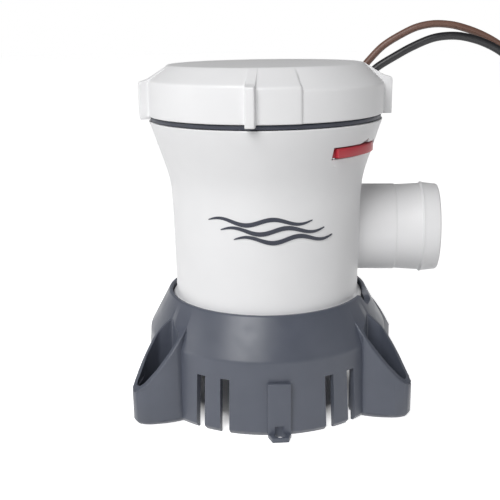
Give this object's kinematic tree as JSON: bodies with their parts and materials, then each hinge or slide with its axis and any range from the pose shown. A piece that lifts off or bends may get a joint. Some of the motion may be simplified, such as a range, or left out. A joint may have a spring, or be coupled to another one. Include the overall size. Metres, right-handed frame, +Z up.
{
  "type": "bilge pump",
  "caption": "Submersible bilge pump with a side hose outlet, slotted strainer base on pocket feet, twist cap, lock lever and a pull-out motor cartridge with two leads.",
  "frame": {"origin": "middle of the footprint box of the pump without its leads, on the floor under its feet", "axes": "+Z up along the pump's axis, +X along the hose outlet, -Y towards the front screw lug"},
  "size_m": [0.1989, 0.1044, 0.1267],
  "materials": {
    "white_plastic": "satin moulded white thermoplastic",
    "base_plastic": "satin blue-grey moulded thermoplastic",
    "ring_plastic": "satin blue-black moulded thermoplastic",
    "red_plastic": "semi-gloss red moulded thermoplastic",
    "grey_plastic": "satin grey moulded thermoplastic",
    "black_rubber": "matt black rubber",
    "brown_sheath": "satin brown wire insulation",
    "black_sheath": "satin black wire insulation",
    "steel": "plain bright steel",
    "iron": "laminated electrical steel",
    "ferrite": "matt sintered ferrite",
    "copper": "enamelled copper winding",
    "brass": "plain brass",
    "carbon": "matt carbon"
  },
  "bodies": {
    "base": {"strainer_base": "base_plastic"},
    "housing": {"housing": "white_plastic", "inlet_plate": "grey_plastic", "lever_pin": "steel"},
    "lever": {"lock_lever": "red_plastic"},
    "lock_ring": {"seal_ring": "ring_plastic", "coil_brown": "brown_sheath", "coil_black": "black_sheath", "coil_tie": "ring_plastic"},
    "cartridge": {"cap": "white_plastic", "lead_gland": "black_rubber", "lead_brown": "brown_sheath", "lead_black": "black_sheath", "neck_o_ring": "black_rubber", "motor_shell": "grey_plastic", "motor_can": "steel", "magnet_left": "ferrite", "magnet_right": "ferrite", "brush_plate": "ring_plastic", "brush_left": "carbon", "brush_right": "carbon", "brush_spring_left": "steel", "brush_spring_right": "steel", "terminal_front": "brass", "terminal_back": "brass", "motor_screw_1": "steel", "motor_screw_2": "steel", "lower_bearing": "brass", "upper_bearing": "brass", "shaft_seal": "black_rubber"},
    "rotor": {"shaft": "steel", "armature_core": "iron", "windings": "copper", "commutator": "copper", "impeller": "grey_plastic", "impeller_nut": "brass"}
  },
  "joints": [
    {"name": "housing_lift", "type": "slide", "parent": "base", "child": "housing", "axis": [0, 0, 1], "range_m": [0, 0.03]},
    {"name": "lever_swing", "type": "hinge", "parent": "housing", "child": "lever", "pos_m": [0.0155, -0.02624, 0.0877], "axis": [0, 0, -1], "range_deg": [0, 25]},
    {"name": "cap_twist", "type": "hinge", "parent": "housing", "child": "lock_ring", "pos_m": [-0.00675, 0, 0.0969], "axis": [0, 0, 1], "range_deg": [0, 30]},
    {"name": "cartridge_lift", "type": "slide", "parent": "lock_ring", "child": "cartridge", "axis": [0, 0, 1], "range_m": [0, 0.07]},
    {"name": "rotor_spin", "type": "hinge", "parent": "cartridge", "child": "rotor", "pos_m": [-0.00675, 0, 0.06], "axis": [0, 0, 1], "continuous": true}
  ]
}
